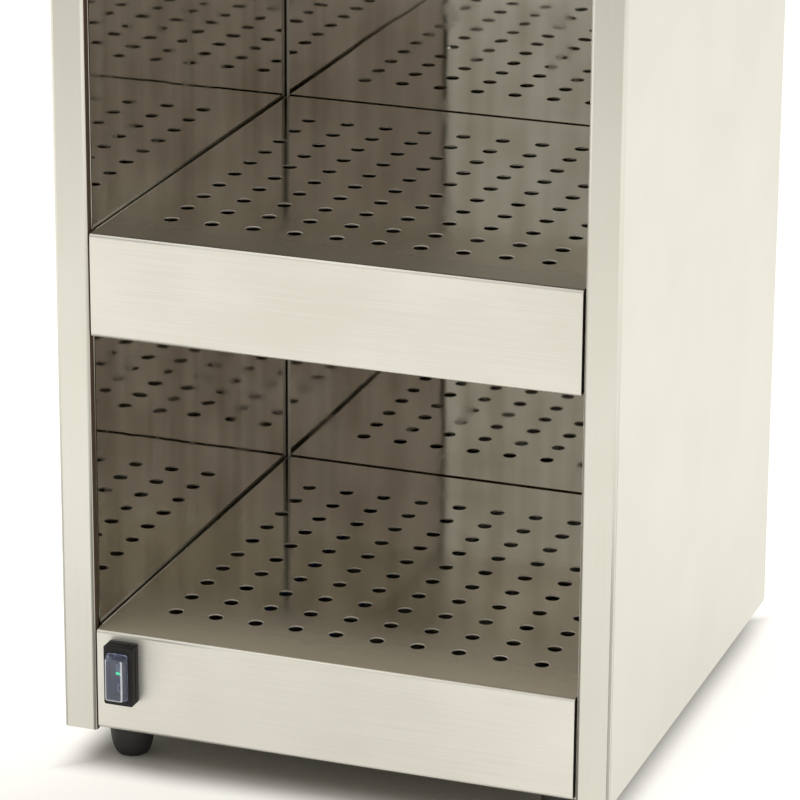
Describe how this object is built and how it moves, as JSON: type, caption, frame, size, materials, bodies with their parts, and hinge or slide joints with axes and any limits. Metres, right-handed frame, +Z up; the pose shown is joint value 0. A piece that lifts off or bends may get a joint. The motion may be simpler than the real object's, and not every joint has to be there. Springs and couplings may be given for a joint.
{
  "type": "cup warming cabinet",
  "caption": "Free-standing stainless steel cup warming cabinet with heated perforated shelves, an open front and top, a rocker switch and rubber feet.",
  "frame": {"origin": "on the ground, below the middle of the whole object's bounding box", "axes": "+Z up, the open front faces -Y, +X to the right as seen from the front"},
  "size_m": [0.333, 0.3682, 0.5938],
  "materials": {
    "satin_steel": "fine satin grain",
    "polished_steel": "bright polished",
    "element_steel": "dull annealed sheath",
    "zinc_steel": "bright zinc plate",
    "brass": "plain brass",
    "foot_rubber": "moulded black rubber",
    "guard_rubber": "moulded soft black vinyl",
    "black_plastic": "moulded, fine texture",
    "cream_plastic": "moulded",
    "clear_cap": "clear moulded vinyl with a bluish tint",
    "brown_sleeve": "glass-fibre sleeve",
    "blue_sleeve": "glass-fibre sleeve",
    "green_sleeve": "insulated earth wire"
  },
  "bodies": {
    "cabinet": {"side_panel_right": "satin_steel", "side_panel_left": "satin_steel", "back_cover": "satin_steel", "base_plate": "satin_steel", "shelf_tray_lower": "satin_steel", "shelf_tray_middle": "satin_steel", "shelf_tray_top": "satin_steel", "liner_right": "polished_steel", "liner_left": "polished_steel", "liner_back": "polished_steel", "shelf_cover_middle": "polished_steel", "shelf_cover_top": "polished_steel", "heating_element_lower": "element_steel", "heating_element_middle": "element_steel", "heating_element_top": "element_steel", "element_rest_lower": "zinc_steel", "element_rest_middle": "zinc_steel", "element_rest_top": "zinc_steel", "foot_screw_front_left": "zinc_steel", "foot_screw_front_right": "zinc_steel", "foot_screw_rear_left": "zinc_steel", "foot_screw_rear_right": "zinc_steel", "cover_screw_1": "zinc_steel", "cover_screw_2": "zinc_steel", "cover_screw_3": "zinc_steel", "cover_screw_4": "zinc_steel", "cover_screw_5": "zinc_steel", "cover_screw_6": "zinc_steel", "earth_stud": "brass", "earth_nut": "brass", "switch_terminal_1": "brass", "switch_terminal_2": "brass", "switch_terminal_3": "brass", "switch_terminal_4": "brass", "foot_front_left": "foot_rubber", "foot_front_right": "foot_rubber", "foot_rear_left": "foot_rubber", "foot_rear_right": "foot_rubber", "switch_guard": "guard_rubber", "switch_body": "black_plastic", "cable_gland_body": "black_plastic", "cable_gland_nut": "black_plastic", "cable_gland_locknut": "black_plastic", "thermostat": "cream_plastic", "terminal_block": "cream_plastic", "splash_cap": "clear_cap", "wire_live_to_switch": "brown_sleeve", "wire_switch_to_thermostat": "brown_sleeve", "wire_thermostat_to_element": "brown_sleeve", "wire_live_to_middle_element": "brown_sleeve", "wire_live_to_top_element": "brown_sleeve", "wire_neutral_to_switch": "blue_sleeve", "wire_switch_to_element": "blue_sleeve", "wire_neutral_to_middle_element": "blue_sleeve", "wire_neutral_to_top_element": "blue_sleeve", "wire_earth": "green_sleeve"},
    "rocker": {"switch_rocker": "black_plastic"}
  },
  "joints": [
    {"name": "rocker_tilt", "type": "hinge", "parent": "cabinet", "child": "rocker", "pos_m": [-0.1282, -0.16615, 0.0603], "axis": [1, 0, 0], "range_deg": [-16, 0]}
  ]
}
